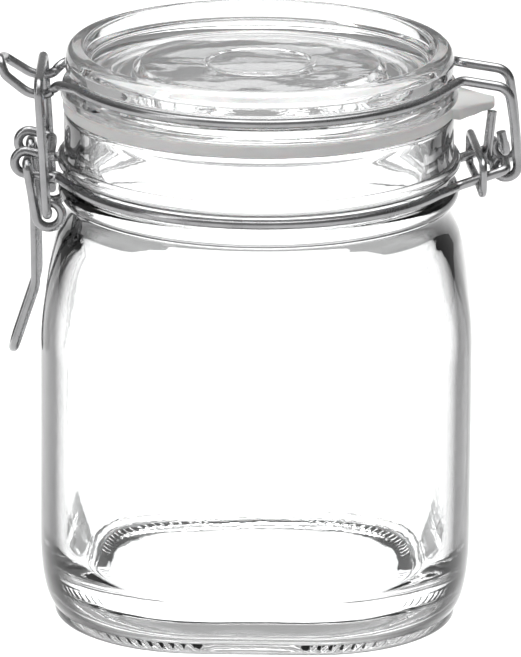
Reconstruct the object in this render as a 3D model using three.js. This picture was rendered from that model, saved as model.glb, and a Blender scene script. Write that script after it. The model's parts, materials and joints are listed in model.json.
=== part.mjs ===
// Square storage jar with a domed glass lid held by a bail clamp: eight separate pieces.
// Millimetres. +Z is up, the base stands on z = 0, the hinge is at +X and the latch at -X.
import * as THREE from 'three';
import { mergeVertices } from 'three/addons/utils/BufferGeometryUtils.js';

// ---- driving dimensions ----
const bodyHalf = 53.5;            // half the width across the flats
const bodyCorner = 38;            // corner radius of the rounded square body
const baseHalf = 49.6;            // half the width of the foot
const wall = 5.3;                 // side wall
const floorTop = 7;               // top of the base
const bodyStart = 20;             // the heel ends and the straight sides begin
const bodyEnd = 70;               // the straight sides end and the shoulder begins
const shoulderTop = 98;           // the shoulder meets the round neck
const lipTop = 126.2;             // the rim that the gasket sits on
const lipRadius = 48.3;
const mouthRadius = 42.3;
const beadRadius = 50;            // the two beads either side of the collar groove
const grooveRadius = 47;          // bottom of the collar groove
const collarZ = 110;              // height of the collar wire

const lidRimRadius = 48;
const lidTop = 142.2;
const lidGrooveRadius = 46.2;
const lidWireZ = 135;             // height of the lid wire in its groove
const gasketTop = 129.5;
const clearance = 0.35;           // air between pieces that touch on the real jar

const wireRadius = 1.2;
const wireSides = 8;
const spacing = 2 * wireRadius + clearance;   // centre to centre of wires side by side

const hinge = { x: 61.0, z: 114.6 };          // axis of the lid's hinge, along Y
const hingeCurl = 2.9;                        // centreline radius of the lid wire's eyes
const hairpin = { x: -57.2, z: 114.2, r: 2.9 };   // collar loops that hold the lever
const pivot = { x: -57.0, z: 114.35 };        // axis of the lever, along Y
const eye = { x: -51.5, z: 101.6, r: 3.2 };   // eyes at the ends of the lever
const linkFoot = { x: -51.85, z: 101.95 };    // axis of the link inside those eyes
const linkBar = { x: -54.0, z: 135.5 };       // cross bar of the link over the tongue
const hairpinY = 9.5;                         // half the spread of the collar loops
const eyeY = hairpinY + spacing;
const handleY = hairpinY - spacing;
const linkY = eyeY + spacing;
const tongueY = 9.7;
const lidLegY = 8.8;
const collarArmY = 12.6;

// ---- materials ----
const glass = new THREE.MeshStandardMaterial({ color: 0xdfe6e6, roughness: 0.05, metalness: 0 });
const steel = new THREE.MeshStandardMaterial({ color: 0xa9abad, roughness: 0.28, metalness: 1 });
const rubber = new THREE.MeshStandardMaterial({ color: 0xf1efe9, roughness: 0.6, metalness: 0 });

const jar = new THREE.Group();

function addPiece(name, geometry, material) {
  const mesh = new THREE.Mesh(geometry, material);
  mesh.name = name;
  jar.add(mesh);
  return mesh;
}

// ---- wires ----
// A path whose stations are exactly the points it is given, so tight bends get more of them.
class WirePath extends THREE.CatmullRomCurve3 {
  constructor(points) { super(points, false, 'centripetal'); }
  getPointAt(u, target) { return this.getPoint(u, target); }
  getTangentAt(u, target) { return this.getTangent(u, target); }
  getSpacedPoints(divisions) { return this.getPoints(divisions); }
}

// Each stop is [x, y, z, bend radius]. A corner with a radius becomes an arc.
function bentRoute(stops) {
  const at = stops.map(([x, y, z]) => new THREE.Vector3(x, y, z));
  const route = [at[0]];
  for (let i = 1; i < stops.length - 1; i += 1) {
    const radius = stops[i][3] ?? 0;
    const back = at[i - 1].clone().sub(at[i]).normalize();
    const ahead = at[i + 1].clone().sub(at[i]).normalize();
    const turn = Math.PI - back.angleTo(ahead);
    if (radius === 0 || turn < 0.05) {
      route.push(at[i]);
      continue;
    }
    const middle = back.clone().add(ahead).normalize();
    const centre = at[i].clone().addScaledVector(middle, radius / Math.cos(turn / 2));
    const reach = radius * Math.tan(turn / 2);
    const first = at[i].clone().addScaledVector(back, reach).sub(centre);
    const last = at[i].clone().addScaledVector(ahead, reach).sub(centre);
    const pieces = Math.max(2, Math.ceil(turn / 0.42));
    for (let k = 0; k <= pieces; k += 1) {
      const t = k / pieces;
      const offset = first.clone().multiplyScalar(Math.sin((1 - t) * turn) / Math.sin(turn));
      offset.addScaledVector(last, Math.sin(t * turn) / Math.sin(turn));
      route.push(centre.clone().add(offset));
    }
  }
  route.push(at[at.length - 1]);
  return route;
}

// Points round a level circle about the jar's axis.
function levelArc(radius, z, fromDeg, toDeg, count) {
  const stops = [];
  for (let k = 0; k <= count; k += 1) {
    const angle = THREE.MathUtils.degToRad(fromDeg + (toDeg - fromDeg) * k / count);
    stops.push([radius * Math.cos(angle), radius * Math.sin(angle), z]);
  }
  return stops;
}

// Points round an upright circle at a fixed y: 0 degrees is +X and 90 degrees is up.
function uprightArc(centre, radius, y, fromDeg, toDeg, count) {
  const stops = [];
  for (let k = 0; k <= count; k += 1) {
    const angle = THREE.MathUtils.degToRad(fromDeg + (toDeg - fromDeg) * k / count);
    stops.push([centre.x + radius * Math.cos(angle), y, centre.z + radius * Math.sin(angle)]);
  }
  return stops;
}

const mirrorY = ([x, y, z, bend]) => [x, -y, z, bend];
const mirrored = (stops) => stops.map(mirrorY).reverse();

function wire(stops, radius = wireRadius) {
  const section = new THREE.Shape();
  for (let k = 0; k < wireSides; k += 1) {
    const angle = 2 * Math.PI * (k + 0.5) / wireSides;
    const corner = new THREE.Vector2(radius * Math.cos(angle), radius * Math.sin(angle));
    if (k === 0) section.moveTo(corner.x, corner.y);
    else section.lineTo(corner.x, corner.y);
  }
  section.closePath();
  const route = bentRoute(stops);
  const options = { steps: route.length - 1, extrudePath: new WirePath(route), bevelEnabled: false };
  return new THREE.ExtrudeGeometry(section, options);
}

// ---- jar body ----
const ringPoints = 40;

// One level outline: a square of the given half width with rounded corners. A circle has half = corner.
function outline({ half, corner, z }) {
  const quarter = ringPoints / 4;
  const points = [];
  for (let side = 0; side < 4; side += 1) {
    for (let k = 0; k < quarter; k += 1) {
      const angle = Math.PI / 2 * (side + (k + 0.5) / quarter);
      const squareX = Math.sign(Math.cos(angle)) * (half - corner);
      const squareY = Math.sign(Math.sin(angle)) * (half - corner);
      points.push([squareX + corner * Math.cos(angle), squareY + corner * Math.sin(angle), z]);
    }
  }
  return points;
}

const ring = (half, corner, z) => ({ half, corner, z });
const roundRing = (radius, z) => ring(radius, radius, z);

// The shoulder swells quickly out of the neck and then eases into the straight sides.
function shoulderRings(neckRadius, half, corner, zLow, zHigh, count) {
  const rings = [];
  for (let k = 1; k <= count; k += 1) {
    const down = k / (count + 1);
    const swell = Math.sin(Math.PI / 2 * down) ** 0.7;
    const z = zHigh - (zHigh - zLow) * down;
    rings.push(ring(neckRadius + (half - neckRadius) * swell, neckRadius + (corner - neckRadius) * swell, z));
  }
  return rings;
}

// Skins a stack of outlines and closes it with a flat fan at each end.
function loft(rings) {
  const vertices = rings.flatMap((level) => outline(level)).flat();
  const faces = [];
  for (let level = 0; level < rings.length - 1; level += 1) {
    for (let k = 0; k < ringPoints; k += 1) {
      const next = (k + 1) % ringPoints;
      const a = level * ringPoints + k;
      const b = level * ringPoints + next;
      const c = a + ringPoints;
      const d = b + ringPoints;
      faces.push(a, b, d, a, d, c);
    }
  }
  const capCentre = (level, flip) => {
    const centre = vertices.length / 3;
    vertices.push(0, 0, rings[level].z);
    for (let k = 0; k < ringPoints; k += 1) {
      const here = level * ringPoints + k;
      const next = level * ringPoints + (k + 1) % ringPoints;
      faces.push(centre, ...(flip ? [next, here] : [here, next]));
    }
  };
  capCentre(0, true);
  capCentre(rings.length - 1, false);
  const geometry = new THREE.BufferGeometry();
  geometry.setAttribute('position', new THREE.Float32BufferAttribute(vertices, 3));
  geometry.setIndex(faces);
  return geometry;
}

function jarBody() {
  const outside = [
    ring(37, 28, 0.9),                              // hollow under the base
    ring(40.5, 31, 0),                              // bearing ring
    ring(48, 37, 0),
    ring(baseHalf, 38, 0.8),
    ring(50, 38, 2.4),                              // top of the foot band
    ring(51.4, 38, 5),
    ring(52.9, 38, 11),
    ring(bodyHalf, bodyCorner, bodyStart),
    ring(bodyHalf, bodyCorner, bodyEnd),
    ...shoulderRings(48.6, bodyHalf, bodyCorner, bodyEnd, shoulderTop, 5).reverse(),
    roundRing(48.6, shoulderTop),
    roundRing(47.8, 101.5),
    roundRing(49.1, 104.2),
    roundRing(beadRadius - 0.3, 106),
    roundRing(49.1, 107.3),
    roundRing(grooveRadius, collarZ - 1.6),
    roundRing(grooveRadius, collarZ + 1.6),
    roundRing(49.3, 112.3),
    roundRing(beadRadius, 113.5),
    roundRing(49.2, 115.2),
    roundRing(lipRadius, 117),
    roundRing(lipRadius, lipTop - 0.8),
    roundRing(lipRadius - 0.8, lipTop),
  ];
  const inside = [
    roundRing(mouthRadius + 0.8, lipTop),
    roundRing(mouthRadius, lipTop - 0.8),
    roundRing(mouthRadius, 103),
    ...shoulderRings(mouthRadius, bodyHalf - wall, bodyCorner - wall, bodyEnd, shoulderTop + 2, 4),
    ring(bodyHalf - wall, bodyCorner - wall, bodyEnd),
    ring(bodyHalf - wall, bodyCorner - wall, floorTop + 9),
    ring(46.5, 33, floorTop + 3),
    ring(42, 31, floorTop),
  ];
  return loft([...outside, ...inside]);
}

// ---- lid ----
function lidGlass() {
  const plugRadius = mouthRadius - 1.1;
  const seat = gasketTop + 0.3;
  const profile = [
    [0, 138.2], [30.5, 138.2], [32, 137.3], [39.5, 137.3], [42.4, 139.2], [43.4, 141.4],
    [44.8, lidTop], [46.4, lidTop], [47.7, 141.2], [lidRimRadius, 139.8],
    [lidRimRadius, lidWireZ + 1.6], [lidGrooveRadius, lidWireZ + 1.6],
    [lidGrooveRadius, lidWireZ - 1.6], [48.3, 133], [49.2, 131.8], [49.2, seat],
    [plugRadius, seat], [plugRadius - 1, 123.4], [plugRadius - 2.4, 122.2],
    [36.6, 123], [35.4, 128.6], [33, 130.6], [0, 130.9],
  ].reverse().map(([r, z]) => new THREE.Vector2(r, z));
  const geometry = new THREE.LatheGeometry(profile, 52);
  geometry.rotateX(Math.PI / 2);
  geometry.deleteAttribute('normal');
  geometry.deleteAttribute('uv');
  return mergeVertices(geometry);
}

// ---- gasket with its pull tab ----
function gasket() {
  const outer = 48.6;
  const inner = mouthRadius - 0.4;
  const tabRoot = 0.26;             // angle from +X where the tab leaves the ring, in radians
  const tabReach = 58.4;
  const tabTipHalf = 2.2;
  const shape = new THREE.Shape();
  shape.absarc(0, 0, outer, tabRoot, 2 * Math.PI - tabRoot, false);
  shape.lineTo(tabReach - 1.5, -tabTipHalf);
  shape.absarc(tabReach - tabTipHalf, 0, tabTipHalf, -Math.PI / 3, Math.PI / 3, false);
  shape.closePath();
  const hole = new THREE.Path();
  hole.absarc(0, 0, inner, 0, 2 * Math.PI, true);
  shape.holes.push(hole);
  const thickness = gasketTop - lipTop - 0.3;
  const settings = { depth: thickness, bevelEnabled: false, curveSegments: 52 };
  const geometry = new THREE.ExtrudeGeometry(shape, settings);
  geometry.translate(0, 0, lipTop + 0.3);
  return geometry;
}

// ---- lid wire: hinge eyes, ring in the lid's groove, and the tongue that the link hooks over ----
function lidWire() {
  const ringRadius = lidGrooveRadius + clearance + wireRadius;
  const legX = hinge.x + hingeCurl;
  const tipX = -63.9;
  const side = [
    ...uprightArc(hinge, hingeCurl, -lidLegY, -225, 0, 11),
    [legX - 1.0, -lidLegY, 125.5, 30],
    [legX - 2.4, -lidLegY, 134.4, 4],
    [49.8, -lidLegY, 136.2, 2.6],
    ...levelArc(ringRadius, lidWireZ, -21, -158, 22),
    [-49.7, -tongueY, 134.0, 2.6],
    [-51.6, -tongueY, 131.6, 3],
    [-56.4, -tongueY, 131.6, 6],
  ];
  const nearTip = [[-62.4, -tongueY, 136.4, 3.2], [tipX, 0.6 - tongueY, 140.4, 2.2]];
  const farTip = [[tipX + 0.4, tongueY - 0.6, 136.2, 2.2]];
  return wire([...side, ...nearTip, ...farTip, ...mirrored(side)]);
}

// ---- collar wire: hinge pins, ring in the neck's groove, and the two loops that hold the lever ----
function collarWire() {
  const ringRadius = grooveRadius + clearance + wireRadius;
  const loopTop = hairpin.z + hairpin.r;
  const side = [
    [hinge.x, -collarArmY, hinge.z, 2.0],
    [49.2, -collarArmY, collarZ + 0.3, 3],
    ...levelArc(ringRadius, collarZ, -25, -158, 22),
    [-49.4, -hairpinY, collarZ + 0.3, 3],
    ...uprightArc(hairpin, hairpin.r, -hairpinY, 270, 90, 9),
    [-51.4, -hairpinY, loopTop - 1.4, 2.4],
  ];
  const longEnd = [
    [57.5, -3.2, 127.0], [56.1, -3.2, 113.7, 1.9], [hinge.x, -3.2, hinge.z, 1.9],
  ];
  const shortEnd = [[hinge.x, 3.6, hinge.z, 1.9], [hinge.x - 1.2, 3.2, 120.0]];
  return wire([...longEnd, ...side, ...mirrored(side), ...shortEnd]);
}

// ---- clip: a loop closed round both arms of the collar ----
function hingeClip() {
  const clipRadius = 1.0;
  const reach = collarArmY + wireRadius + clearance + clipRadius;
  const near = 55.4;
  const far = 52.2;
  const top = 116.9;
  const bottom = 108.6;
  return wire([
    [54.0, 0.9, bottom], [near, -reach, bottom, 2.4], [near, -reach, top, 2.4],
    [far, reach, top, 2.4], [far, reach, bottom, 2.4], [53.8, 1.9 + 2 * clearance, bottom],
  ], clipRadius);
}

// ---- lever: an eye at each end, arms outside the collar loops, and the handle between them ----
function latchLever() {
  const eyeStart = 104;             // degrees round the eye where the wire ends
  const eyeLeave = -170;            // degrees where the arm leaves the eye
  const side = [
    ...uprightArc(eye, eye.r, -eyeY, eyeStart, eyeLeave, 13),
    [pivot.x, -eyeY, pivot.z, 1.6],
    [pivot.x, -handleY, pivot.z, 1.6],
    [-55.3, -6.5, 100, 20],
    [-55.0, -6.3, 82, 9],
    [-60.8, -5.2, 64.2, 4.6],
  ];
  return wire([...side, ...mirrored(side)]);
}

// ---- link: hooks over the tongue at the top and turns inward through the lever's eyes ----
function latchLink() {
  const side = [
    [linkFoot.x, 1.4 - eyeY, linkFoot.z],
    [linkFoot.x, -linkY, linkFoot.z, 1.7],
    [linkBar.x, -linkY, linkBar.z, 3],
  ];
  return wire([...side, ...mirrored(side)]);
}

addPiece('jar_body', jarBody(), glass);
addPiece('lid_glass', lidGlass(), glass);
addPiece('gasket', gasket(), rubber);
addPiece('lid_wire', lidWire(), steel);
addPiece('collar_wire', collarWire(), steel);
addPiece('hinge_clip', hingeClip(), steel);
addPiece('latch_lever', latchLever(), steel);
addPiece('latch_link', latchLink(), steel);

export default jar;
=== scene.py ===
"""Looks of the square bail clamp jar: glass body and lid, rubber gasket and bent steel wires.

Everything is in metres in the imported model's frame: +Z up, hinge at +X, latch at -X, front at -Y.
"""
import json
import logging
import math
from contextlib import contextmanager
from dataclasses import dataclass, field
from enum import Enum
from typing import Any, Callable, Iterator, Sequence

import bmesh
import bpy
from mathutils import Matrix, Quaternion, Vector


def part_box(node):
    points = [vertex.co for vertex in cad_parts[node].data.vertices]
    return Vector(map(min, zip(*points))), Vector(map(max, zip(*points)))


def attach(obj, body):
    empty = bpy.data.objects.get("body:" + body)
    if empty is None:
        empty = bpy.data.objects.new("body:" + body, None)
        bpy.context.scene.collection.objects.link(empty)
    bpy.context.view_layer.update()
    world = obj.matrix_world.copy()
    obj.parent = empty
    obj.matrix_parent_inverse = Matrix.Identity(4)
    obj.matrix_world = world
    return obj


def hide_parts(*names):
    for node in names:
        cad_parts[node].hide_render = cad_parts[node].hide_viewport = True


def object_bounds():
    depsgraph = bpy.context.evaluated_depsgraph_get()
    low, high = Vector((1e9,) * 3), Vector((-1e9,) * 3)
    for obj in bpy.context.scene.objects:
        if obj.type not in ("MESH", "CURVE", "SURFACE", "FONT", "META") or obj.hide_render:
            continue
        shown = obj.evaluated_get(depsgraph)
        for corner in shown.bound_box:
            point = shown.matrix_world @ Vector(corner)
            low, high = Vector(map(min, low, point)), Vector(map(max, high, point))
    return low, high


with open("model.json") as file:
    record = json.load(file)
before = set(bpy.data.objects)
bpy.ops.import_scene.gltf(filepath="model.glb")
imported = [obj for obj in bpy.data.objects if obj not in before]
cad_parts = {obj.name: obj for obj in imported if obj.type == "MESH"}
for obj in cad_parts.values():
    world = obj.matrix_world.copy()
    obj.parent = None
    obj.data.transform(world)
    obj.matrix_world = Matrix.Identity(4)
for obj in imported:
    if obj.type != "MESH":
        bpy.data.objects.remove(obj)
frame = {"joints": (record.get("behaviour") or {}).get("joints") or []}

logging.basicConfig(level=logging.INFO, format="%(name)s: %(message)s")

MM = 0.001
CAD_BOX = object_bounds()
JOINTS: dict[str, Vector] = {j["name"]: Vector(j["pos_m"]) for j in frame["joints"]}

WELD = 0.00001  # points closer than this are one point
SAME_LEVEL = 0.00002  # heights closer than this are one height
STRAIGHT = 0.03  # radians of turn that need no bend

Stop = tuple[Vector, float]


class Body(Enum):
    """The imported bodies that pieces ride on."""

    JAR = "jar"
    LID = "lid"
    LEVER = "lever"
    LINK = "link"


class Slot(Enum):
    """The record's material slots."""

    GLASS = "clear_glass"
    RUBBER = "gasket_rubber"
    STEEL = "steel_wire"


# ---------------------------------------------------------------- bench tools


class Bench:
    """Thin wrappers round the modelling operators, so that each step reads as one action."""

    @staticmethod
    def deselect() -> None:
        """Deselect every object."""
        bpy.ops.object.select_all(action="DESELECT")

    @staticmethod
    def take(piece: bpy.types.Object) -> None:
        """Make one object the only selected and the active one.

        Args:
            piece: The object to work on.
        """
        Bench.deselect()
        piece.select_set(True)
        bpy.context.view_layer.objects.active = piece

    @staticmethod
    def started(name: str) -> bpy.types.Object:
        """Name the primitive that was just added.

        Args:
            name: The new object's name.

        Returns:
            The active object.
        """
        piece = bpy.context.active_object
        piece.name = name
        piece.data.name = name
        return piece

    @staticmethod
    @contextmanager
    def editing(piece: bpy.types.Object) -> Iterator[None]:
        """Open a piece in edit mode for the length of a with block.

        Args:
            piece: The mesh object to edit.

        Yields:
            Nothing.
        """
        Bench.take(piece)
        bpy.ops.object.mode_set(mode="EDIT")
        bpy.ops.mesh.select_mode(type="VERT")
        try:
            yield
        finally:
            bpy.ops.object.mode_set(mode="OBJECT")

    @staticmethod
    def pick(piece: bpy.types.Object, kind: str, test: Callable[[Any], bool]) -> None:
        """Select in edit mode the elements that pass a test, and nothing else.

        Args:
            piece: The mesh object in edit mode.
            kind: VERT, EDGE or FACE.
            test: Says whether a bmesh element is wanted.
        """
        bpy.ops.mesh.select_mode(type=kind)
        bpy.ops.mesh.select_all(action="DESELECT")
        mesh = bmesh.from_edit_mesh(piece.data)
        elements = {"VERT": mesh.verts, "EDGE": mesh.edges, "FACE": mesh.faces}[kind]
        for element in [e for e in elements if test(e)]:
            element.select_set(True)
        mesh.select_flush_mode()
        bmesh.update_edit_mesh(piece.data)

    @staticmethod
    def reach(piece: bpy.types.Object) -> float:
        """Measure the largest X among the selected vertices in edit mode.

        Args:
            piece: The mesh object in edit mode.

        Returns:
            The largest X in metres.
        """
        mesh = bmesh.from_edit_mesh(piece.data)
        return max(v.co.x for v in mesh.verts if v.select)

    @staticmethod
    def settle(piece: bpy.types.Object) -> None:
        """Put a piece's place, turn and size into its mesh.

        Args:
            piece: The finished object.
        """
        Bench.take(piece)
        bpy.ops.object.transform_apply(location=True, rotation=True, scale=True)

    @staticmethod
    def outward(piece: bpy.types.Object) -> None:
        """Merge doubled points and turn all faces outward.

        Args:
            piece: A closed mesh object.
        """
        with Bench.editing(piece):
            bpy.ops.mesh.select_all(action="SELECT")
            bpy.ops.mesh.remove_doubles(threshold=WELD)
            bpy.ops.mesh.normals_make_consistent(inside=False)

    @staticmethod
    def modify(piece: bpy.types.Object, kind: str, **settings: Any) -> None:
        """Add a modifier, set it and apply it.

        Args:
            piece: The object to change.
            kind: The modifier's type name.
            settings: The modifier's properties.
        """
        Bench.take(piece)
        bpy.ops.object.modifier_add(type=kind)
        modifier = piece.modifiers[-1]
        for key, value in settings.items():
            setattr(modifier, key, value)
        bpy.ops.object.modifier_apply(modifier=modifier.name)

    @staticmethod
    def smooth(piece: bpy.types.Object, degrees: float) -> None:
        """Shade a piece smooth, with creases where faces meet at more than an angle.

        Args:
            piece: The object to shade.
            degrees: The largest angle that stays smooth.
        """
        Bench.take(piece)
        bpy.ops.object.shade_smooth_by_angle(angle=math.radians(degrees))

    @staticmethod
    def join(pieces: Sequence[bpy.types.Object]) -> bpy.types.Object:
        """Join objects into the first one.

        Args:
            pieces: The objects, the one that stays first.

        Returns:
            The joined object.
        """
        Bench.take(pieces[0])
        for piece in pieces[1:]:
            piece.select_set(True)
        bpy.ops.object.join()
        return pieces[0]


def bent_route(stops: Sequence[Stop], turn_step: float = 12.0) -> list[Vector]:
    """Turn corners with a bend radius into arcs.

    Args:
        stops: Points along the route, each with its bend radius (0 for a plain point).
        turn_step: Degrees of turn between two points of an arc.

    Returns:
        The points of the bent route.
    """
    points = [stops[0][0].copy()]
    for (before, _), (corner, radius), (after, _) in zip(stops, stops[1:], stops[2:]):
        back = (before - corner).normalized()
        ahead = (after - corner).normalized()
        turn = math.pi - back.angle(ahead)
        if radius == 0 or turn < STRAIGHT:
            points.append(corner.copy())
            continue
        centre = corner + (back + ahead).normalized() * (radius / math.cos(turn / 2))
        run = radius * math.tan(turn / 2)
        first, last = corner + back * run - centre, corner + ahead * run - centre
        pieces = max(2, math.ceil(math.degrees(turn) / turn_step))
        for k in range(pieces + 1):
            t = k / pieces
            swing = first * math.sin((1 - t) * turn) + last * math.sin(t * turn)
            points.append(centre + swing / math.sin(turn))
    points.append(stops[-1][0].copy())
    return points


# ---------------------------------------------------------------- shader tools


class Value:
    """A shader socket that takes part in Python arithmetic by adding Math nodes."""

    def __init__(self, shop: "Shader", socket: bpy.types.NodeSocket) -> None:
        """Wrap one output socket of a material."""
        self.shop = shop
        self.socket = socket

    def _math(self, operation: str, *values: Any) -> "Value":
        """Add a Math node.

        Args:
            operation: The Math node's operation.
            values: Numbers or values for its inputs.

        Returns:
            The node's result.
        """
        return self.shop.node("ShaderNodeMath", {"operation": operation}, dict(enumerate(values)))

    def __add__(self, other: Any) -> "Value":
        """Add."""
        return self._math("ADD", self, other)

    def __sub__(self, other: Any) -> "Value":
        """Subtract."""
        return self._math("SUBTRACT", self, other)

    def __rsub__(self, other: Any) -> "Value":
        """Subtract from a number."""
        return self._math("SUBTRACT", other, self)

    def __mul__(self, other: Any) -> "Value":
        """Multiply."""
        return self._math("MULTIPLY", self, other)

    def __gt__(self, other: Any) -> "Value":
        """Compare, giving 0 or 1."""
        return self._math("GREATER_THAN", self, other)

    __radd__ = __add__
    __rmul__ = __mul__


class Shader:
    """One material under construction."""

    def __init__(self, name: str) -> None:
        """Make an empty node material with a Principled surface.

        Args:
            name: The material's name.
        """
        self.material = bpy.data.materials.new(name)
        self.material.use_nodes = True
        self.tree = self.material.node_tree
        self.surface = self.tree.nodes["Principled BSDF"]
        self.place = self.node("ShaderNodeTexCoord", {}, {}, "Object")

    def node(self, kind: str, settings: dict[str, Any], inputs: dict[Any, Any],
             output: Any = 0) -> Value:
        """Add a node.

        Args:
            kind: The node's type name.
            settings: Properties set first; "stops" fills a colour ramp with (place, grey) pairs.
            inputs: Numbers, tuples or values by input name or number.
            output: The output's name or number.

        Returns:
            The chosen output.
        """
        made = self.tree.nodes.new(kind)
        for key, value in settings.items():
            if key == "stops":
                ramp = made.color_ramp.elements
                while len(ramp) < len(value):
                    ramp.new(0.5)
                for element, (place, grey) in zip(ramp, value):
                    element.position = place
                    element.color = (grey, grey, grey, 1)
            else:
                setattr(made, key, value)
        for key, value in inputs.items():
            self.feed(made.inputs[key], value)
        return Value(self, made.outputs[output])

    def feed(self, socket: bpy.types.NodeSocket, value: Any) -> None:
        """Link a value to a socket, or set a constant on it.

        Args:
            socket: The input to feed.
            value: A Value, a number or a tuple.
        """
        if isinstance(value, Value):
            self.tree.links.new(value.socket, socket)
        else:
            socket.default_value = value

    def stretched(self, scale: tuple[float, float, float]) -> Value:
        """Object coordinates multiplied along each axis.

        Args:
            scale: The factor along X, Y and Z.

        Returns:
            The scaled coordinates.
        """
        return self.node("ShaderNodeMapping", {}, {"Vector": self.place, "Scale": scale})

    def noise(self, scale: float, detail: float = 2.0, along: Value | None = None) -> Value:
        """Smooth noise from 0 to 1.

        Args:
            scale: Features per metre.
            detail: Octaves.
            along: Coordinates to use in place of Object ones.

        Returns:
            The noise.
        """
        inputs = {"Vector": along or self.place, "Scale": scale, "Detail": detail}
        return self.node("ShaderNodeTexNoise", {}, inputs, "Fac")

    def mixed(self, factor: Value, first: Any, second: Any) -> Value:
        """Blend two colours.

        Args:
            factor: 0 for the first colour, 1 for the second.
            first: A colour with alpha, or a Value.
            second: A colour with alpha, or a Value.

        Returns:
            The blended colour.
        """
        colour_result = 2
        return self.node("ShaderNodeMix", {"data_type": "RGBA"},
                         {0: factor, 6: first, 7: second}, colour_result)

    def eased(self, value: Value, low: float, high: float) -> Value:
        """Rise smoothly from 0 to 1 between two values.

        Args:
            value: What is measured.
            low: Where the rise begins.
            high: Where it ends.

        Returns:
            The eased value.
        """
        return self.node("ShaderNodeMapRange", {"interpolation_type": "SMOOTHSTEP"},
                         {"Value": value, "From Min": low, "From Max": high})

    def bump(self, height: Value, distance: float, strength: float = 1.0) -> Value:
        """Turn a height into a bumped normal.

        Args:
            height: Height from 0 to 1.
            distance: The height of 1 in metres.
            strength: How much of the bump shows.

        Returns:
            The normal.
        """
        inputs = {"Height": height, "Distance": distance, "Strength": strength}
        return self.node("ShaderNodeBump", {}, inputs)

    def finish(self, **sockets: Any) -> bpy.types.Material:
        """Feed the surface's sockets.

        Args:
            sockets: Values by socket name, with underscores for spaces.

        Returns:
            The finished material.
        """
        for key, value in sockets.items():
            self.feed(self.surface.inputs[key.replace("_", " ")], value)
        return self.material


@dataclass(frozen=True)
class MouldedGlass:
    """Clear soda-lime glass with slow mould waves and small ripples, and painted shade that greys
    it where the surface is seen edge-on.
    """

    name: str
    tint: tuple = (0.985, 0.988, 0.988, 1)
    shade: tuple = (0.965, 0.97, 0.97, 1)
    wave: float = 0.00035
    ripple: float = 0.00001
    # Painted shade: the colour the glass turns to where it is seen edge-on, standing in for dark
    # surroundings; the start and end below set where that turn begins and ends.
    painted_edge_shade: tuple = (0.02, 0.02, 0.0205, 1)
    painted_edge_shade_start: float = 0.37
    painted_edge_shade_end: float = 0.60
    gloss: tuple = (0.5, 0.5, 0.505, 1)

    def made(self) -> bpy.types.Material:
        """Build the material.

        Returns:
            The glass.
        """
        shop = Shader(self.name)
        waves = shop.noise(38.0, 1.0, shop.stretched((1.0, 1.0, 0.45)))
        ripples = shop.noise(420.0, 2.0)
        wavy = shop.bump(waves, self.wave)
        rippled = shop.node("ShaderNodeBump", {}, {
            "Height": ripples, "Distance": self.ripple, "Strength": 1.0, "Normal": wavy})
        seeds = shop.noise(900.0, 1.0) > 0.78
        # Painted shade: how squarely the surface faces the view blends the base colour towards the
        # painted edge shade.
        facing = shop.node("ShaderNodeLayerWeight", {}, {"Blend": 0.5}, "Facing")
        painted_edge_shade_mask = shop.eased(facing, self.painted_edge_shade_start, self.painted_edge_shade_end)
        body = shop.mixed(waves, self.tint, self.shade)
        return shop.finish(
            Base_Color=shop.mixed(painted_edge_shade_mask, body, self.painted_edge_shade),
            Roughness=0.004 + seeds * 0.02,
            Normal=rippled,
            Transmission_Weight=1.0,
            IOR=1.5,
            Specular_Tint=self.gloss,
        )


@dataclass(frozen=True)
class DrawnSteel:
    """Stainless wire with fine drawing lines, a little grime and small rubbed spots."""

    name: str
    bright: tuple = (0.36, 0.36, 0.365, 1)
    dull: tuple = (0.19, 0.19, 0.193, 1)

    def made(self) -> bpy.types.Material:
        """Build the material.

        Returns:
            The steel.
        """
        shop = Shader(self.name)
        cloud = shop.noise(160.0, 3.0)
        lines = shop.noise(5200.0, 3.0, shop.stretched((1.0, 1.0, 0.08)))
        rubbed = shop.noise(700.0, 2.0) > 0.66
        return shop.finish(
            Base_Color=shop.mixed(cloud, self.bright, self.dull),
            Roughness=0.17 + cloud * 0.12 + lines * 0.06 - rubbed * 0.06,
            Metallic=1.0,
            Normal=shop.bump(lines, 0.00003, 0.5),
        )


@dataclass(frozen=True)
class MilkyRubber:
    """Translucent white gasket rubber, matt with a faint moulded grain."""

    name: str
    pale: tuple = (0.60, 0.60, 0.596, 1)
    deep: tuple = (0.48, 0.48, 0.476, 1)

    def made(self) -> bpy.types.Material:
        """Build the material.

        Returns:
            The rubber.
        """
        shop = Shader(self.name)
        cloud = shop.noise(90.0, 3.0)
        grain = shop.noise(2600.0, 2.0)
        return shop.finish(
            Base_Color=shop.mixed(cloud, self.pale, self.deep),
            Roughness=0.42 + cloud * 0.12,
            Normal=shop.bump(grain, 0.00004, 0.6),
            Subsurface_Weight=0.25,
            Subsurface_Scale=0.002,
            Transmission_Weight=0.35,
            IOR=1.42,
        )


@dataclass(frozen=True)
class PaleFloor:
    """A plain pale sweep with barely visible clouding."""

    name: str
    pale: tuple = (0.93, 0.93, 0.93, 1)
    cloud: tuple = (0.915, 0.915, 0.915, 1)

    def made(self) -> bpy.types.Material:
        """Build the material.

        Returns:
            The floor's finish.
        """
        shop = Shader(self.name)
        return shop.finish(
            Base_Color=shop.mixed(shop.noise(3.0), self.pale, self.cloud),
            Roughness=0.7,
        )


# ---------------------------------------------------------------- sub-assemblies


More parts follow.
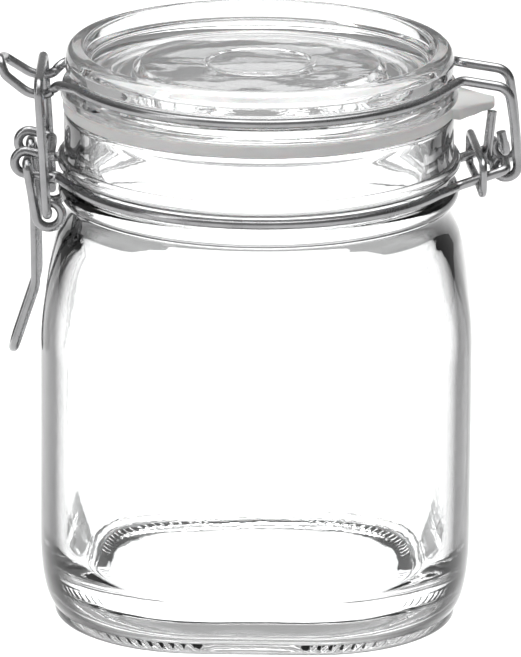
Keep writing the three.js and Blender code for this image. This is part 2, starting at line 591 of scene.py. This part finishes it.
@dataclass
class Piece:
    """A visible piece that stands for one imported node."""

    node: str
    body: Body
    slot: Slot

    def dress(self, made: bpy.types.Object, finish: bpy.types.Material | None) -> bpy.types.Object:
        """Give a finished mesh its material and its body, and say what it replaces.

        Args:
            made: The finished mesh object.
            finish: Its material, or None where its faces have theirs already.

        Returns:
            The same object.
        """
        Bench.settle(made)
        if finish is not None:
            made.data.materials.clear()
            made.data.materials.append(finish)
        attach(made, self.body.value)
        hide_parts(self.node)
        faces = len(made.data.polygons)
        logging.getLogger(self.node).info("%s has %d faces", made.name, faces)
        return made


@dataclass
class Level:
    """One level outline of the jar: height, half width and how round it is (0 square, 1 circle)."""

    z: float
    half: float
    roundness: float = 1.0


@dataclass
class JarGlass(Piece):
    """The glass body: square with rounded corners below, a round beaded neck above."""

    body_half: float = 53.37 * MM
    body_corner: float = 38 * MM
    wall: float = 5.3 * MM
    floor_top: float = 7 * MM
    heel_top: float = 21 * MM
    sides_top: float = 70 * MM
    shoulder_top: float = 98 * MM
    neck: float = 48.6 * MM
    waist: float = 47.8 * MM
    bead: float = 50 * MM
    groove: float = 47 * MM
    lip: float = 48.3 * MM
    lip_top: float = 126.2 * MM
    mouth: float = 42.3 * MM
    corner_steps: int = 36
    flat_cuts: int = 7

    def _start(self, name: str, half: float, corner: float, z: float) -> bpy.types.Object:
        """Add the rounded square ring that a wall grows from.

        Args:
            name: The new object's name.
            half: Half its width.
            corner: Its corner radius.
            z: Its height.

        Returns:
            An object that is one closed ring of edges.
        """
        Bench.deselect()
        bpy.ops.mesh.primitive_plane_add(size=2 * half, location=(0, 0, z))
        ring = Bench.started(name)
        Bench.settle(ring)
        with Bench.editing(ring):
            bpy.ops.mesh.select_all(action="SELECT")
            bpy.ops.mesh.bevel(offset=corner, segments=self.corner_steps, affect="VERTICES")
            bpy.ops.mesh.delete(type="ONLY_FACE")
            longest = half - corner
            Bench.pick(ring, "EDGE", lambda e: e.calc_length() > longest)
            bpy.ops.mesh.subdivide(number_cuts=self.flat_cuts)
        return ring

    def _grow(self, ring: bpy.types.Object, start: Level, levels: Sequence[Level]) -> None:
        """Extrude the selected ring through a stack of levels.

        Args:
            ring: The object in edit mode, its open ring selected.
            start: The level of that ring.
            levels: The levels to pass through, in order.
        """
        here = start
        for level in levels:
            bpy.ops.mesh.extrude_region_move(
                TRANSFORM_OT_translate={"value": (0, 0, level.z - here.z)})
            if level.roundness > here.roundness:
                share = 1 - (1 - level.roundness) / (1 - here.roundness)
                bpy.ops.transform.tosphere(value=share, center_override=(0, 0, level.z))
            factor = level.half / Bench.reach(ring)
            bpy.ops.transform.resize(value=(factor, factor, 1), center_override=(0, 0, level.z))
            here = level

    def _select_ring(self, ring: bpy.types.Object, z: float) -> None:
        """Select the open ring at a height.

        Args:
            ring: The object in edit mode.
            z: The height of the ring.
        """
        Bench.pick(ring, "EDGE", lambda e: e.is_boundary and all(
            abs(v.co.z - z) < SAME_LEVEL for v in e.verts) or e.is_wire)

    def _shoulder(self, neck: float, half: float, low: float, high: float) -> list[Level]:
        """Levels from the straight sides in to the round neck.

        Args:
            neck: The neck's radius.
            half: Half the width of the straight sides.
            low: Where the straight sides end.
            high: Where the neck begins.

        Returns:
            The levels from the bottom up.
        """
        levels = []
        count = 16
        fullness = 0.7
        for k in range(1, count + 1):
            up = 1 - math.cos(math.pi / 2 * k / count) if k < count else 1.0
            up = 0.5 * up + 0.5 * k / count
            swell = math.sin(math.pi / 2 * (1 - up)) ** fullness if up < 1 else 0.0
            levels.append(Level(low + (high - low) * up, neck + (half - neck) * swell, 1 - swell))
        return levels

    def _bead(self, z: float, half_height: float, foot: float, crest: float) -> list[Level]:
        """A rounded bead round the neck.

        Args:
            z: The height of its crest.
            half_height: Half its height.
            foot: The radius either side of it.
            crest: The radius of its crest.

        Returns:
            Its levels from the bottom up.
        """
        steps = 8
        sharpness = 1.2
        return [Level(z + half_height * math.sin(math.pi / 2 * k / steps),
                      foot + (crest - foot) * math.cos(math.pi / 2 * k / steps) ** sharpness)
                for k in range(-steps, steps + 1)]

    def _outer_neck(self) -> list[Level]:
        """Levels of the neck's outside from the shoulder up to the top of the lip.

        Returns:
            The levels from the bottom up.
        """
        seam = 0.14 * MM
        neck = [
            Level(99.5 * MM, 48.1 * MM), Level(101 * MM, self.waist),
            Level(102.6 * MM, self.waist + seam),
            Level(103.6 * MM, 48.35 * MM), Level(103.8 * MM, 48.35 * MM + seam),
            Level(104.0 * MM, 48.4 * MM),
        ]
        neck += self._bead(106 * MM, 2.0 * MM, 48.3 * MM, 49.7 * MM)
        neck += [
            Level(108.5 * MM, self.groove + 0.3 * MM), Level(108.9 * MM, self.groove),
            Level(111.2 * MM, self.groove), Level(111.6 * MM, self.groove + 0.5 * MM),
        ]
        neck += self._bead(113.7 * MM, 1.8 * MM, 48.5 * MM, self.bead)
        neck += [Level(z * MM, self.lip) for z in (116.6, 120, 123.5)]
        return neck + self._round_lip(self.lip_top, self.lip, 1.3 * MM, -1)

    def _round_lip(self, top: float, wall: float, rounding: float, side: int) -> list[Level]:
        """Levels that round a wall over to the top of the lip.

        Args:
            top: The height of the lip.
            wall: The wall's radius.
            rounding: The radius of the rounding.
            side: 1 where it turns outward, -1 where it turns inward.

        Returns:
            The levels from the bottom up.
        """
        steps = 6
        swings = [math.pi / 2 * k / steps for k in range(steps + 1)]
        return [Level(top - rounding * (1 - math.sin(swing)),
                      wall + side * rounding * (1 - math.cos(swing))) for swing in swings]

    def _inner_neck(self) -> list[Level]:
        """Levels of the mouth from the inner shoulder up to the top of the lip.

        Returns:
            The levels from the bottom up.
        """
        lip_top = self.lip_top - 0.12 * MM
        levels = [Level(z * MM, self.mouth) for z in (103, 106, 110, 114, 118, 122)]
        return levels + self._round_lip(lip_top, self.mouth, 1.2 * MM, 1)

    def _outside(self) -> bpy.types.Object:
        """Build the outer skin, closed below by the moulded base.

        Returns:
            The skin, open at the lip.
        """
        start = Level(self.heel_top, self.body_half, 0.0)
        skin = self._start("jar_outside", start.half, self.body_corner, start.z)
        with Bench.editing(skin):
            bpy.ops.mesh.select_all(action="SELECT")
            straight = [Level(z * MM, self.body_half, 0.0) for z in (33, 45, 57, 64)]
            straight.append(Level(self.sides_top, self.body_half, 0.0))
            shoulder = self._shoulder(self.neck, self.body_half, self.sides_top, self.shoulder_top)
            self._grow(skin, start, straight + shoulder + self._outer_neck())
            self._select_ring(skin, start.z)
            self._grow(skin, start, self._heel())
            self._close(skin, 5.2 * MM)
            self._knurl(skin)
        return skin

    def _heel(self) -> list[Level]:
        """Levels from the straight sides down round the heel, foot band and bearing ring.

        Returns:
            The levels from the top down, ending under the middle of the base.
        """
        tuck = 3.9 * MM
        drop = self.heel_top - tuck
        steps = 10
        turned = 0.86
        heel = []
        for k in range(1, steps + 1):
            swing = math.pi / 2 * k / steps * turned
            down = math.sin(swing) / math.sin(math.pi / 2 * turned)
            heel.append(Level(self.heel_top - drop * down,
                              self.body_half - tuck * (1 - math.cos(swing)), 0.0))
        flat = [(3.5, 50.2), (3.1, 49.8), (2.8, 49.9), (1.4, 49.9), (0.6, 49.4), (0.15, 48.7),
                (0.0, 47.8), (0.0, 46.9), (0.25, 46.2), (0.3, 45.6), (0.3, 40.4), (0.4, 39.6),
                (0.6, 38.0), (0.7, 36.0), (0.8, 30.0), (0.85, 20.0), (0.9, 10.0)]
        return heel + [Level(z * MM, half * MM, 0.0) for z, half in flat]

    def _close(self, skin: bpy.types.Object, inset: float) -> None:
        """Fill the selected ring with a face and inset it once.

        Args:
            skin: The object in edit mode, with the ring selected; not used.
            inset: How far the ring inside it lies.
        """
        bpy.ops.mesh.edge_face_add()
        bpy.ops.mesh.inset(thickness=inset)

    def _knurl(self, skin: bpy.types.Object) -> None:
        """Raise short radial ribs on the bearing ring at the corners, down to the standing level.

        Args:
            skin: The outer skin in edit mode.
        """
        bearing = 0.3 * MM
        rib_foot = 0.04 * MM
        rib_start = 13 * MM
        fan = (self.body_half - self.body_corner) * 0.85

        def rib(face: Any) -> bool:
            """Say whether a face of the bearing ring becomes a rib.

            Args:
                face: A face of the skin.

            Returns:
                True for every other face round a corner.
            """
            centre = face.calc_center_median()
            flat = abs(face.normal.z) > 0.99 and abs(centre.z - bearing) < 0.02 * MM
            if not flat or min(abs(centre.x), abs(centre.y)) < rib_start:
                return False
            angle = math.atan2(abs(centre.y) - fan, abs(centre.x) - fan)
            return int(angle / (math.pi / 2) * self.corner_steps) % 2 == 0

        Bench.pick(skin, "FACE", rib)
        bpy.ops.mesh.inset(thickness=0.5 * MM, use_individual=True)
        bpy.ops.transform.translate(value=(0, 0, rib_foot - bearing))

    def _inside(self) -> bpy.types.Object:
        """Build the inner skin, closed below by the floor of the jar.

        Returns:
            The skin, open at the mouth.
        """
        half = self.body_half - self.wall
        sides_top = self.sides_top - 1 * MM
        heel_radius = 12 * MM
        steps = 12
        start = Level(24 * MM, half, 0.0)
        skin = self._start("jar_inside", half, self.body_corner - self.wall, start.z)
        with Bench.editing(skin):
            bpy.ops.mesh.select_all(action="SELECT")
            straight = [Level(z * MM, half, 0.0) for z in (36, 47, 58)]
            straight.append(Level(sides_top, half, 0.0))
            shoulder = self._shoulder(self.mouth, half, sides_top, 100.5 * MM)
            self._grow(skin, start, straight + shoulder + self._inner_neck())
            self._select_ring(skin, start.z)
            heel = []
            for k in range(1, steps + 1):
                swing = math.pi / 2 * k / steps
                heel.append(Level(start.z - (start.z - self.floor_top) * math.sin(swing),
                                  half - heel_radius * (1 - math.cos(swing)), 0.0))
            middle = [Level(self.floor_top + rise * MM, width * MM, 0.0)
                      for rise, width in ((-0.1, 33), (-0.1, 28), (0.0, 22), (0.2, 15), (0.3, 8))]
            self._grow(skin, start, heel + middle)
            self._close(skin, 4 * MM)
        return skin

    def _wave(self, skin: bpy.types.Object) -> None:
        """Give the inner skin the slow waves of moulded glass, dying out below the neck.

        Args:
            skin: The inner skin.
        """
        with Bench.editing(skin):
            bpy.ops.object.vertex_group_add()
            for below, weight in ((98 * MM, 0.3), (94 * MM, 0.6), (88 * MM, 1.0)):
                Bench.pick(skin, "VERT", lambda v: v.co.z < below)
                bpy.context.scene.tool_settings.vertex_group_weight = weight
                bpy.ops.object.vertex_group_assign()
        waves = bpy.data.textures.new("moulding_waves", "CLOUDS")
        waves.noise_scale = 0.03
        Bench.modify(skin, "DISPLACE", texture=waves, strength=0.8 * MM, mid_level=0.5,
                     texture_coords="LOCAL", vertex_group=skin.vertex_groups[0].name)

    def build(self, outer: bpy.types.Material, inner: bpy.types.Material) -> bpy.types.Object:
        """Build and dress the jar's glass body.

        Args:
            outer: The glass of its outer skin.
            inner: The glass of its inner skin.

        Returns:
            The finished piece.
        """
        outside, inside = self._outside(), self._inside()
        outside.data.materials.append(outer)
        inside.data.materials.append(inner)
        self._wave(inside)
        jar = Bench.join([outside, inside])
        jar.name = "jar_glass"
        with Bench.editing(jar):
            Bench.pick(jar, "EDGE", lambda e: e.is_boundary)
            bpy.ops.mesh.bridge_edge_loops()
        Bench.outward(jar)
        Bench.smooth(jar, 50)
        jar.visible_shadow = False
        return self.dress(jar, None)


@dataclass
class LidGlass(Piece):
    """The glass lid: raised rim, recess with a flat disc, wire groove and plug ring below."""

    spin_steps: int = 144

    def _profile(self) -> list[Stop]:
        """Radius and height of the lid's section, from the middle of the top round to the bottom.

        Returns:
            The stops of the section, each with its rounding.
        """
        section = [
            (0, 138.0, 0), (12.2, 138.0, 0.2), (12.6, 138.35, 0.25), (13.6, 138.35, 0.25),
            (14.0, 138.0, 0.2), (29.4, 138.15, 0.6), (31.2, 136.4, 1.0), (36.6, 136.6, 1.5),
            (41.6, 137.9, 1.6), (43.5, 142.2, 1.4), (47.2, 142.2, 1.7), (48.0, 139.6, 2.5),
            (48.0, 136.7, 0.5), (46.2, 136.2, 0.6), (46.2, 133.9, 0.6), (48.5, 133.3, 0.8),
            (49.2, 131.8, 0.8), (49.2, 129.8, 0.7), (43.0, 129.8, 0.5), (41.2, 129.6, 0.6),
            (40.3, 122.2, 1.2), (36.8, 122.2, 1.2), (35.4, 129.4, 2.2), (30.5, 131.6, 2.0),
            (0, 131.2, 0),
        ]
        return [(Vector((r * MM, 0, z * MM)), rounding * MM) for r, z, rounding in section]

    def build(self, finish: bpy.types.Material) -> bpy.types.Object:
        """Build and dress the lid.

        Args:
            finish: Its glass.

        Returns:
            The finished piece.
        """
        route = bent_route(self._profile(), 18)
        Bench.deselect()
        bpy.ops.mesh.primitive_plane_add(size=1 * MM, location=route[0])
        lid = Bench.started("lid")
        Bench.settle(lid)
        with Bench.editing(lid):
            bpy.ops.mesh.select_all(action="SELECT")
            bpy.ops.mesh.merge(type="CENTER")
            for here, there in zip(route, route[1:]):
                bpy.ops.mesh.extrude_region_move(TRANSFORM_OT_translate={"value": there - here})
            bpy.ops.mesh.select_all(action="SELECT")
            bpy.ops.mesh.spin(steps=self.spin_steps, angle=2 * math.pi, center=(0, 0, 0),
                              axis=(0, 0, 1))
        Bench.outward(lid)
        Bench.smooth(lid, 50)
        lid.visible_shadow = False
        return self.dress(lid, finish)


@dataclass
class Gasket(Piece):
    """The flat rubber ring between lid and lip, with its pull tab at the hinge side."""

    outer: float = 48.6 * MM
    inner: float = 41.9 * MM
    ring_points: int = 120
    tab_half: float = 12.5 * MM

    def build(self, finish: bpy.types.Material) -> bpy.types.Object:
        """Build and dress the gasket.

        Args:
            finish: Its rubber.

        Returns:
            The finished piece.
        """
        low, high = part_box(self.node)
        thickness = high.z - low.z
        Bench.deselect()
        bpy.ops.mesh.primitive_circle_add(vertices=self.ring_points, radius=self.outer,
                                          location=(0, 0, low.z))
        ring = Bench.started("gasket_ring")
        Bench.settle(ring)
        with Bench.editing(ring):
            bpy.ops.mesh.select_all(action="SELECT")
            for radius in (48.0 * MM, 44.5 * MM, self.inner):
                bpy.ops.mesh.extrude_region_move()
                factor = radius / Bench.reach(ring)
                bpy.ops.transform.resize(value=(factor, factor, 1), center_override=(0, 0, low.z))
            self._tab(ring, high.x)
        Bench.modify(ring, "SOLIDIFY", thickness=thickness, offset=-1)
        Bench.outward(ring)
        lowest = min(v.co.z for v in ring.data.vertices)
        with Bench.editing(ring):
            bpy.ops.mesh.select_all(action="SELECT")
            bpy.ops.transform.translate(value=(0, 0, low.z - lowest))
            for start, share in ((51.0, 0.9), (54.0, 0.85), (57.0, 0.8)):
                Bench.pick(ring, "VERT", lambda v: v.co.x > start * MM)
                bpy.ops.transform.resize(value=(1, 1, share), center_override=(0, 0, high.z))
        Bench.modify(ring, "BEVEL", width=0.5 * MM, segments=3, limit_method="ANGLE")
        Bench.smooth(ring, 40)
        return self.dress(ring, finish)

    def _tab(self, ring: bpy.types.Object, tip: float) -> None:
        """Draw the pull tab out of the ring's outer edge.

        Args:
            ring: The flat ring in edit mode.
            tip: How far out the tab reaches.
        """
        edge = self.outer - 0.02 * MM
        Bench.pick(ring, "EDGE", lambda e: e.is_boundary and all(
            v.co.xy.length > edge and v.co.x > 0 and abs(v.co.y) < self.tab_half for v in e.verts))
        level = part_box(self.node)[0].z
        squeeze = 0.55
        air = 0.3 * MM
        taper = ((50.2, 10.8), (51.6, 9.0), (53.2, 7.0), (55.0, 5.1), (56.8, 3.4), (57.6, 2.6))
        for reach, half in taper:
            bpy.ops.mesh.extrude_region_move()
            mesh = bmesh.from_edit_mesh(ring.data)
            chosen = [v for v in mesh.verts if v.select]
            widest = max(abs(v.co.y) for v in chosen)
            farthest = max(v.co.x for v in chosen)
            bpy.ops.transform.resize(value=(squeeze, half * MM / widest, 1),
                                     center_override=(farthest, 0, level))
            bpy.ops.transform.translate(value=(reach * MM - farthest, 0, 0))
        bpy.ops.transform.translate(value=(tip - air - taper[-1][0] * MM, 0, 0))


@dataclass
class BentWire(Piece):
    """A piece bent from round wire, along a route of stops with bend radii."""

    radius: float = 1.2 * MM
    stops: list[Stop] = field(default_factory=list)

    @staticmethod
    def stop(x: float, y: float, z: float, bend: float = 0.0) -> Stop:
        """One stop of a wire's route, given in millimetres."""
        return Vector((x, y, z)) * MM, bend * MM

    @staticmethod
    def level_arc(radius: float, z: float, start: float, end: float, count: int = 48) -> list[Stop]:
        """Stops round a level circle about the jar's axis.

        Args:
            radius: The circle's radius in metres.
            z: Its height in metres.
            start: The first angle in degrees.
            end: The last angle in degrees.
            count: How many steps it takes.

        Returns:
            The stops.
        """
        angles = [math.radians(start + (end - start) * k / count) for k in range(count + 1)]
        return [(Vector((radius * math.cos(a), radius * math.sin(a), z)), 0.0) for a in angles]

    @staticmethod
    def upright_arc(centre: Vector, radius: float, y: float, start: float, end: float,
                    count: int = 26) -> list[Stop]:
        """Stops round an upright circle at a fixed y. 0 degrees is +X and 90 degrees is up.

        Args:
            centre: A point on the circle's axis.
            radius: Its radius.
            y: The plane it lies in.
            start: The first angle in degrees.
            end: The last angle in degrees.
            count: How many steps it takes.

        Returns:
            The stops.
        """
        angles = [math.radians(start + (end - start) * k / count) for k in range(count + 1)]
        return [(Vector((centre.x + radius * math.cos(a), y, centre.z + radius * math.sin(a))), 0.0)
                for a in angles]

    @staticmethod
    def mirrored(side: Sequence[Stop]) -> list[Stop]:
        """The same stops on the other side of y = 0, in the opposite order."""
        return [(Vector((p.x, -p.y, p.z)), bend) for p, bend in reversed(side)]

    def build(self, finish: bpy.types.Material) -> bpy.types.Object:
        """Bend and dress the wire.

        Args:
            finish: Its steel.

        Returns:
            The finished piece.
        """
        route = bent_route(self.stops)
        Bench.deselect()
        bpy.ops.curve.primitive_nurbs_path_add(location=(0, 0, 0))
        wire = Bench.started(self.node + "_bent")
        wire.data.splines.clear()
        spline = wire.data.splines.new("POLY")
        spline.points.add(len(route) - 1)
        for point, place in zip(spline.points, route):
            point.co = (*place, 1)
        wire.data.bevel_depth = self.radius
        wire.data.bevel_resolution = 5
        wire.data.use_fill_caps = True
        wire.data.twist_mode = "MINIMUM"
        Bench.take(wire)
        bpy.ops.object.convert(target="MESH")
        wire = bpy.context.active_object
        Bench.outward(wire)
        with Bench.editing(wire):
            Bench.pick(wire, "FACE", lambda f: len(f.verts) > 6)
            bpy.ops.mesh.bevel(offset=0.35 * MM, segments=3, affect="EDGES")
        Bench.smooth(wire, 60)
        return self.dress(wire, finish)


@dataclass
class Mechanism:
    """The five wires: their shared axes, spreads and routes."""

    hinge_curl: float = 2.9 * MM
    lid_leg_y: float = 8.8 * MM
    collar_arm_y: float = 12.6 * MM
    hairpin_y: float = 9.5 * MM
    side_step: float = 2.75 * MM
    hinge: Vector = field(default_factory=lambda: JOINTS["lid_hinge"])
    pivot: Vector = field(default_factory=lambda: JOINTS["lever_pivot"])
    foot: Vector = field(default_factory=lambda: JOINTS["link_pivot"])

    def lid_wire(self) -> BentWire:
        """Hinge eyes, the ring in the lid's groove and the tongue.

        Returns:
            The wire, ready to build.
        """
        at = BentWire.stop
        leg = (self.hinge.x + self.hinge_curl) / MM
        y = self.lid_leg_y / MM
        side = BentWire.upright_arc(self.hinge, self.hinge_curl, -self.lid_leg_y, -225, 0)
        side += [at(leg - 1.0, -y, 125.5, 30), at(leg - 2.4, -y, 134.4, 4),
                 at(49.8, -y, 136.2, 2.6)]
        side += BentWire.level_arc(47.75 * MM, 135 * MM, -21, -158)
        side += [at(-49.7, -9.7, 134.0, 2.6), at(-51.6, -9.7, 131.6, 3),
                 at(-56.4, -9.7, 131.6, 6)]
        tip = [at(-62.4, -9.7, 136.4, 3.2), at(-63.9, -9.1, 140.4, 2.2),
               at(-63.5, 9.1, 136.2, 2.2)]
        return BentWire("lid_wire", Body.LID, Slot.STEEL,
                        stops=side + tip + BentWire.mirrored(side))

    def collar_wire(self) -> BentWire:
        """Hinge pins, the ring in the neck's groove and the two loops that hold the lever.

        Returns:
            The wire, ready to build.
        """
        at = BentWire.stop
        x, z, y = self.hinge.x / MM, self.hinge.z / MM, self.collar_arm_y / MM
        loop = Vector((-57.2, 0, 114.2)) * MM
        side = [at(x, -y, z, 2.0), at(49.2, -y, 110.3, 3)]
        side += BentWire.level_arc(48.55 * MM, 110 * MM, -25, -158)
        side += [at(-49.4, -self.hairpin_y / MM, 110.3, 3)]
        side += BentWire.upright_arc(loop, 2.9 * MM, -self.hairpin_y, 270, 90)
        side += [at(-51.4, -self.hairpin_y / MM, 115.7, 2.4)]
        long_end = [at(57.5, -3.2, 127.0), at(56.1, -3.2, 113.7, 1.9), at(x, -3.2, z, 1.9)]
        short_end = [at(x, 3.6, z, 1.9), at(x - 1.2, 3.2, 120.0)]
        return BentWire("collar_wire", Body.JAR, Slot.STEEL,
                        stops=long_end + side + BentWire.mirrored(side) + short_end)

    def hinge_clip(self) -> BentWire:
        """The loop closed round both collar arms.

        Returns:
            The wire, ready to build.
        """
        at = BentWire.stop
        reach = 15.15
        return BentWire("hinge_clip", Body.JAR, Slot.STEEL, radius=1.0 * MM, stops=[
            at(54.0, 0.9, 108.6), at(55.4, -reach, 108.6, 2.4), at(55.4, -reach, 116.9, 2.4),
            at(52.2, reach, 116.9, 2.4), at(52.2, reach, 108.6, 2.4), at(53.8, 2.6, 108.6)])

    def latch_lever(self) -> BentWire:
        """Eyes, arms and the handle between them.

        Returns:
            The wire, ready to build.
        """
        at = BentWire.stop
        eye = Vector((-51.5, 0, 101.6)) * MM
        x, z = self.pivot.x / MM, self.pivot.z / MM
        outside, inside = self.hairpin_y + self.side_step, self.hairpin_y - self.side_step
        side = BentWire.upright_arc(eye, 3.2 * MM, -outside, 104, -170, 30)
        side += [at(x, -outside / MM, z, 1.6), at(x, -inside / MM, z, 1.6),
                 at(-55.3, -6.5, 100, 20), at(-55.0, -6.3, 82, 9), at(-60.8, -5.2, 64.2, 4.6)]
        return BentWire("latch_lever", Body.LEVER, Slot.STEEL,
                        stops=side + BentWire.mirrored(side))

    def latch_link(self) -> BentWire:
        """The hook over the tongue.

        Returns:
            The wire, ready to build.
        """
        at = BentWire.stop
        x, z = self.foot.x / MM, self.foot.z / MM
        outside = (self.hairpin_y + 2 * self.side_step) / MM
        side = [at(x, -10.85, z), at(x, -outside, z, 1.7), at(-54.0, -outside, 135.5, 3)]
        return BentWire("latch_link", Body.LINK, Slot.STEEL,
                        stops=side + BentWire.mirrored(side))


# ---------------------------------------------------------------- studio


@dataclass
class Studio:
    """The camera, the pale floor and the soft lights."""

    azimuth: float = 1.0
    elevation: float = 16.6
    distance: float = 2.0
    roll: float = 0.45
    lens: float = 440.0
    shift: tuple = (0.0043, -0.0099)
    aim: tuple = (0, 0, 0.071)
    room: tuple = ((0.0, 0.50), (0.28, 0.22), (0.5, 0.10), (0.8, 0.30), (1.0, 0.40))
    floor_size: float = 24.0
    floor_drop: float = 0.15 * MM
    sky_strength: float = 3.1
    sky_spread: float = 70.0

    def camera(self) -> None:
        """Place the camera and make it the scene's."""
        turn, rise = math.radians(self.azimuth), math.radians(self.elevation)
        back = Vector((math.sin(turn) * math.cos(rise), -math.cos(turn) * math.cos(rise),
                       math.sin(rise)))
        lens = bpy.data.cameras.new("camera")
        lens.lens = self.lens
        lens.sensor_fit = "VERTICAL"
        lens.sensor_height = 36.0
        lens.shift_x, lens.shift_y = self.shift
        lens.clip_end = 20
        eye = bpy.data.objects.new("camera", lens)
        eye.location = Vector(self.aim) + back * self.distance
        eye.rotation_mode = "QUATERNION"
        look = (-back).to_track_quat("-Z", "Y")
        eye.rotation_quaternion = look @ Quaternion((0, 0, 1), math.radians(self.roll))
        bpy.context.scene.collection.objects.link(eye)
        bpy.context.scene.camera = eye

    def floor(self, finish: bpy.types.Material) -> None:
        """Lay the pale floor.

        Args:
            finish: Its material.
        """
        Bench.deselect()
        bpy.ops.mesh.primitive_plane_add(size=self.floor_size,
                                         location=(0, 0, CAD_BOX[0][2] - self.floor_drop))
        floor = Bench.started("studio_floor")
        Bench.settle(floor)
        floor.data.materials.append(finish)

    def light(self, name: str, place: tuple, aim: tuple, size: tuple, power: float) -> None:
        """Hang one rectangular soft light.

        Args:
            name: Its name.
            place: Where it hangs.
            aim: What it points at.
            size: Its width and height.
            power: Its power in watts.
        """
        lamp = bpy.data.lights.new(name, "AREA")
        lamp.shape = "RECTANGLE"
        lamp.size, lamp.size_y = size
        lamp.energy = power
        hung = bpy.data.objects.new(name, lamp)
        hung.location = place
        hung.rotation_euler = (Vector(aim) - Vector(place)).to_track_quat("-Z", "Y").to_euler()
        bpy.context.scene.collection.objects.link(hung)

    def sky(self) -> None:
        """Light the whole floor evenly from above with a wide soft sun."""
        lamp = bpy.data.lights.new("soft_sky", "SUN")
        lamp.energy = self.sky_strength
        lamp.angle = math.radians(self.sky_spread)
        bpy.context.scene.collection.objects.link(bpy.data.objects.new("soft_sky", lamp))

    def world(self) -> None:
        """Fill the room with grey that is brighter behind the jar and darker to the sides."""
        world = bpy.data.worlds.new("studio")
        world.use_nodes = True
        tree = world.node_tree
        background = tree.nodes["Background"]
        place = tree.nodes.new("ShaderNodeTexCoord")
        split = tree.nodes.new("ShaderNodeSeparateXYZ")
        ramp = tree.nodes.new("ShaderNodeValToRGB")
        span = tree.nodes.new("ShaderNodeMapRange")
        span.inputs["From Min"].default_value = -1.0
        tree.links.new(place.outputs["Generated"], split.inputs[0])
        tree.links.new(split.outputs["Y"], span.inputs["Value"])
        tree.links.new(span.outputs[0], ramp.inputs[0])
        stops = ramp.color_ramp.elements
        while len(stops) < len(self.room):
            stops.new(0.5)
        for stop, (place_along, grey) in zip(stops, self.room):
            stop.position = place_along
            stop.color = (grey, grey, grey, 1)
        tree.links.new(ramp.outputs[0], background.inputs[0])
        background.inputs[1].default_value = 1.0
        bpy.context.scene.world = world

    def build(self) -> None:
        """Set the whole studio up."""
        self.camera()
        self.floor(PaleFloor("pale_floor").made())
        self.sky()
        self.light("overhead", (0, 0.1, 2.2), (0, 0, 0), (1.6, 1.6), 18)
        self.light("left_strip", (-1.1, -0.7, 0.8), (0, 0, 0.08), (0.25, 1.2), 5)
        self.world()
        scene = bpy.context.scene
        scene.view_settings.view_transform = "Standard"
        scene.cycles.max_bounces = 24
        scene.cycles.transmission_bounces = 24
        scene.cycles.glossy_bounces = 8


def main() -> None:
    """Build the jar piece by piece, then the studio."""
    # Painted edge shade: near black on the outer skin, faint on the inner skin, mid grey on the
    # lid.
    outer_glass = MouldedGlass("moulded_glass").made()
    inner_glass = MouldedGlass("moulded_glass_inside", painted_edge_shade=(0.90, 0.91, 0.91, 1)).made()
    lid_glass = MouldedGlass("pressed_lid_glass", painted_edge_shade=(0.48, 0.48, 0.484, 1), painted_edge_shade_start=0.3,
                             painted_edge_shade_end=0.8, wave=0.0008, gloss=(0.9, 0.9, 0.9, 1)).made()
    steel = DrawnSteel("drawn_steel").made()
    rubber = MilkyRubber("milky_rubber").made()
    JarGlass("jar_body", Body.JAR, Slot.GLASS).build(outer_glass, inner_glass)
    LidGlass("lid_glass", Body.LID, Slot.GLASS).build(lid_glass)
    Gasket("gasket", Body.LID, Slot.RUBBER).build(rubber)
    works = Mechanism()
    for wire in (works.lid_wire(), works.collar_wire(), works.hinge_clip(), works.latch_lever(),
                 works.latch_link()):
        wire.build(steel)
    Studio().build()


if __name__ == "__main__":
    main()
